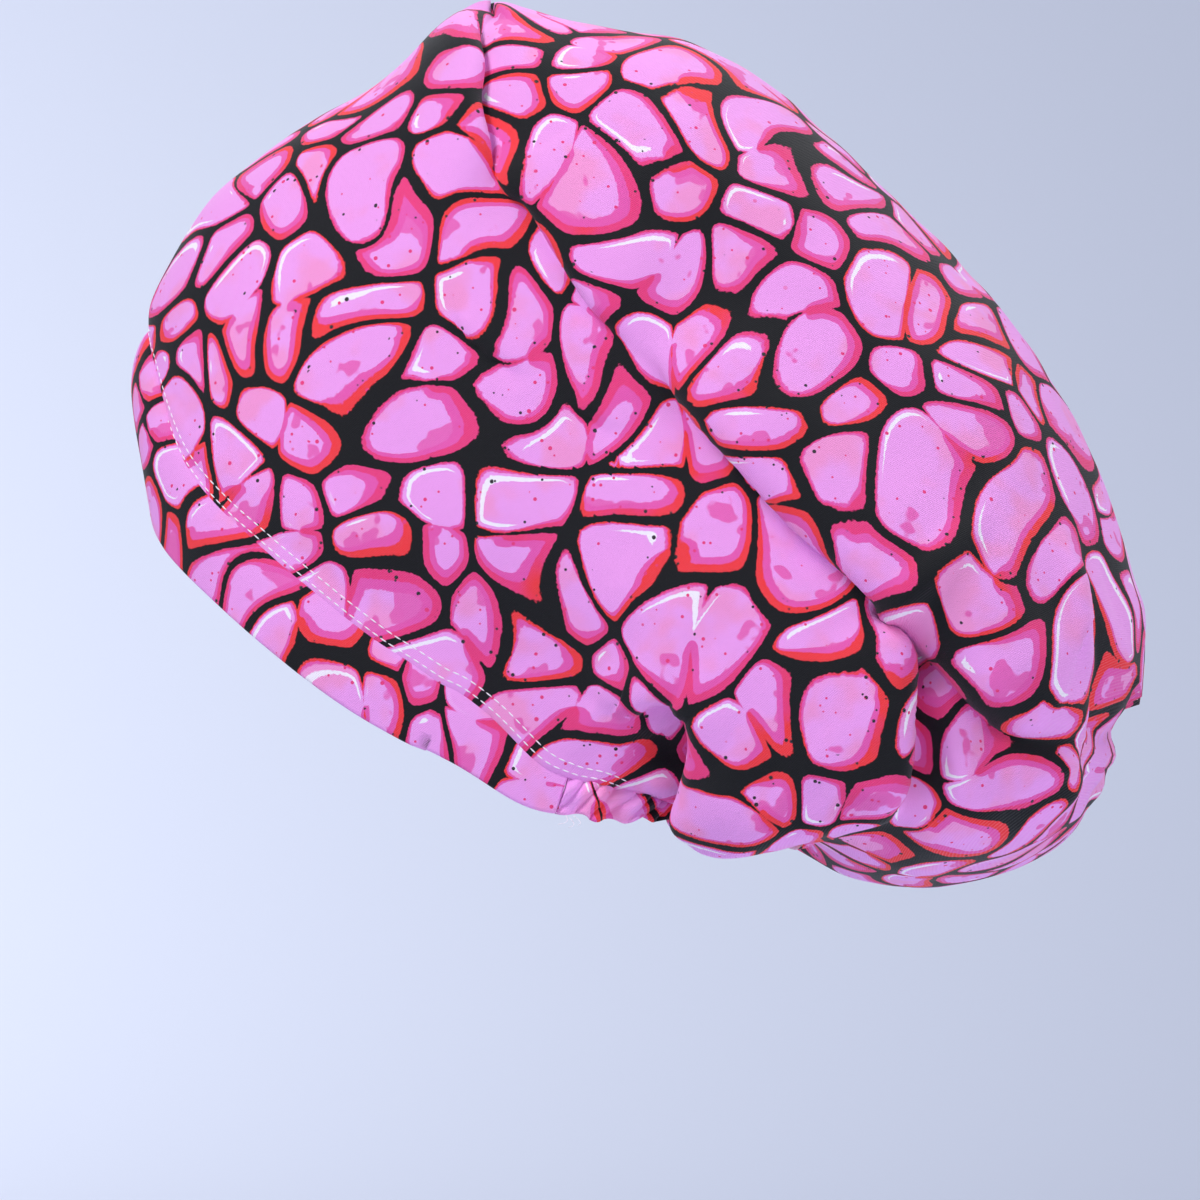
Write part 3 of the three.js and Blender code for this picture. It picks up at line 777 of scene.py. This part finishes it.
def row_of_stitches(distance):
    """A walk along the crown at a distance from its hem, from behind the left ear to behind the right."""
    hem = len(ROW_PLACES) + 1
    grid = crown_points[:, hem:-hem]
    middle = grid.shape[1] // 2
    walks = []
    for side in (grid[:, middle:][:, ::-1], grid[:, :middle + 1]):
        walk = []
        for station, section in zip(crown_stations, side):
            run = np.concatenate([[0], np.cumsum(np.linalg.norm(np.diff(section, axis=0), axis=1))])
            if run[-1] > distance and station < LAST_STITCHED_ROW:
                walk.append([np.interp(distance, run, section[:, axis]) for axis in range(3)])
        walks.append(walk)
    return np.array(walks[0][::-1] + walks[1])


def thread_material():
    s = Shader("white_thread")
    place = s.output(s.node("ShaderNodeTexCoord"), "Object")
    twist = s.node("ShaderNodeTexNoise", inputs={"Vector": place, "Scale": 2500.0})
    s.feed(s.surface.inputs["Base Color"], s.mix(twist, srgb(236, 226, 238), srgb(255, 252, 255)))
    names = {"Height": twist, "Distance": 0.05 * MM}
    s.feed(s.surface.inputs["Normal"], s.node("ShaderNodeBump", inputs=names))
    s.surface.inputs["Roughness"].default_value = 0.7
    return s.material


def stitching_tree(material):
    """A node tree that lays stitches end to end along a curve."""
    tree = bpy.data.node_groups.new("topstitch", "GeometryNodeTree")
    tree.interface.new_socket(name="Geometry", in_out="INPUT", socket_type="NodeSocketGeometry")
    for name in ("Pitch", "Length", "Width"):
        tree.interface.new_socket(name=name, in_out="INPUT", socket_type="NodeSocketFloat")
    tree.interface.new_socket(name="Geometry", in_out="OUTPUT", socket_type="NodeSocketGeometry")
    given, result = tree.nodes.new("NodeGroupInput"), tree.nodes.new("NodeGroupOutput")
    points = tree.nodes.new("GeometryNodeCurveToPoints")
    points.mode = "LENGTH"
    turn = tree.nodes.new("FunctionNodeAlignRotationToVector")
    turn.axis = "X"
    ball = tree.nodes.new("GeometryNodeMeshUVSphere")
    ball.inputs["Segments"].default_value, ball.inputs["Rings"].default_value = 6, 6
    ball.inputs["Radius"].default_value = 0.5
    scale = tree.nodes.new("ShaderNodeCombineXYZ")
    place = tree.nodes.new("GeometryNodeInstanceOnPoints")
    real = tree.nodes.new("GeometryNodeRealizeInstances")
    finish = tree.nodes.new("GeometryNodeSetMaterial")
    finish.inputs["Material"].default_value = material
    link = tree.links.new
    link(given.outputs["Geometry"], points.inputs["Curve"])
    link(given.outputs["Pitch"], points.inputs["Length"])
    link(points.outputs["Tangent"], turn.inputs["Vector"])
    link(given.outputs["Length"], scale.inputs["X"])
    link(given.outputs["Width"], scale.inputs["Y"])
    link(given.outputs["Width"], scale.inputs["Z"])
    link(points.outputs["Points"], place.inputs["Points"])
    link(ball.outputs["Mesh"], place.inputs["Instance"])
    link(turn.outputs["Rotation"], place.inputs["Rotation"])
    link(scale.outputs["Vector"], place.inputs["Scale"])
    link(place.outputs["Instances"], real.inputs["Geometry"])
    link(real.outputs["Geometry"], finish.inputs["Geometry"])
    link(finish.outputs["Geometry"], result.inputs["Geometry"])
    return tree


def curve_through(name, walks, thickness=0.0):
    data = bpy.data.curves.new(name, "CURVE")
    data.dimensions = "3D"
    data.bevel_depth = thickness * MM
    data.bevel_resolution = 1
    for walk in walks:
        spline = data.splines.new("POLY")
        spline.points.add(len(walk) - 1)
        weighted = np.concatenate([walk * MM, np.ones((len(walk), 1))], axis=1)
        spline.points.foreach_set("co", weighted.reshape(-1))
    made = bpy.data.objects.new(name, data)
    bpy.context.collection.objects.link(made)
    return made


def as_mesh(name, source):
    """The evaluated object as a plain mesh object, in place of the source."""
    ready = source.evaluated_get(bpy.context.evaluated_depsgraph_get())
    mesh = bpy.data.meshes.new_from_object(ready)
    made = bpy.data.objects.new(name, mesh)
    bpy.context.collection.objects.link(made)
    bpy.data.objects.remove(source)
    mesh.polygons.foreach_set("use_smooth", [True] * len(mesh.polygons))
    return made


white_thread = thread_material()
stitch_rows = curve_through("stitch_rows", [row_of_stitches(place) for place in ROW_PLACES])
stitcher = stitch_rows.modifiers.new("topstitch", "NODES")
stitcher.node_group = stitching_tree(white_thread)
STITCH_SIZES = {"Pitch": STITCH_PITCH, "Length": STITCH_LENGTH, "Width": THREAD_WIDTH}
for socket in stitcher.node_group.interface.items_tree:
    if socket.name in STITCH_SIZES:
        stitcher[socket.identifier] = STITCH_SIZES[socket.name] * MM
topstitch = as_mesh("topstitching", stitch_rows)
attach(topstitch, "root")

TAIL_STARTS = [(566, 812), (570, 815), (574, 813)]
TAIL_LEANS = [-1.5, 0.6, 2.4]
TAIL_LENGTH = 7.0
tails = []
for pixel, lean in zip(TAIL_STARTS, TAIL_LEANS):
    y, z = from_photo(*pixel)
    t = np.linspace(0, 1, 9)
    x = RING_WIDTH / 2 + 1.5 + 2.5 * np.sin(2.6 * t)
    sideways = y + lean * t + 1.2 * np.sin(4 * t)
    drop = 1.5 * np.sin(3 * t) + TAIL_LENGTH * 0.4 * t**2
    tails.append(np.stack([x, sideways, z - drop], axis=-1))
thread_ends = as_mesh("thread_ends", curve_through("thread_ends_path", tails, thickness=0.12))
thread_ends.data.materials.append(white_thread)
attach(thread_ends, "root")

# Floor and light. A plain pale floor that rises behind, a broad soft key light from above the forehead,
# and weaker fills, so that the folds at the back lie in soft shade.
FLOOR_DROP = 0.42
SWEEP_FRONT, SWEEP_DISTANCE, SWEEP_RADIUS = 12.0, 6.3, 4.0
SWEEP_HALF_WIDTH, SWEEP_TOP = 12.0, 6.0


def sweep_material():
    s = Shader("pale_floor")
    s.surface.inputs["Base Color"].default_value = srgb(212, 218, 236)
    s.surface.inputs["Roughness"].default_value = 0.9
    return s.material


turns = np.radians(np.linspace(0, 90, 46))
curve_x = -SWEEP_DISTANCE - SWEEP_RADIUS * np.sin(turns)
curve_z = -FLOOR_DROP + SWEEP_RADIUS * (1 - np.cos(turns))
profile = [(SWEEP_FRONT, -FLOOR_DROP), *zip(curve_x, curve_z), (curve_x[-1], SWEEP_TOP)]
corners = [(x / MM, y / MM, z / MM) for x, z in profile for y in (-SWEEP_HALF_WIDTH, SWEEP_HALF_WIDTH)]
sweep_faces = np.array([[2 * n, 2 * n + 1, 2 * n + 3, 2 * n + 2] for n in range(len(profile) - 1)])
sweep = make_piece("floor", np.array(corners), sweep_faces)
sweep.data.materials.append(sweep_material())


def lamp(name, place, target, size, watts, colour):
    data = bpy.data.lights.new(name, "AREA")
    data.size, data.energy, data.color = size, watts, colour
    made = bpy.data.objects.new(name, data)
    made.location = place
    made.rotation_euler = (Vector(target) - Vector(place)).to_track_quat("-Z", "Y").to_euler()
    bpy.context.collection.objects.link(made)


lamp("key", (0.9, -1.0, 1.3), (0, 0.05, 0.03), 0.6, 24, (1.0, 0.98, 1.0))
lamp("fill", (1.2, 1.0, 0.0), (0, 0.1, -0.02), 1.0, 8, (0.95, 0.96, 1.0))
lamp("back", (-0.5, 0.9, 1.2), (0, 0.1, 0.05), 0.8, 12, (1.0, 1.0, 1.0))
lamp("right", (-1.4, -0.3, 0.7), (0, 0.05, 0.0), 1.0, 7, (1.0, 1.0, 1.0))
lamp("wall", (-6.6, -2.2, 1.9), (-7.9, -0.5, -0.1), 1.6, 110, (1.0, 1.0, 1.0))
world = bpy.data.worlds.new("room")
world.use_nodes = True
world.node_tree.nodes["Background"].inputs["Color"].default_value = srgb(222, 228, 246)
world.node_tree.nodes["Background"].inputs["Strength"].default_value = 0.32
bpy.context.scene.world = world
bpy.context.scene.view_settings.view_transform = "Standard"
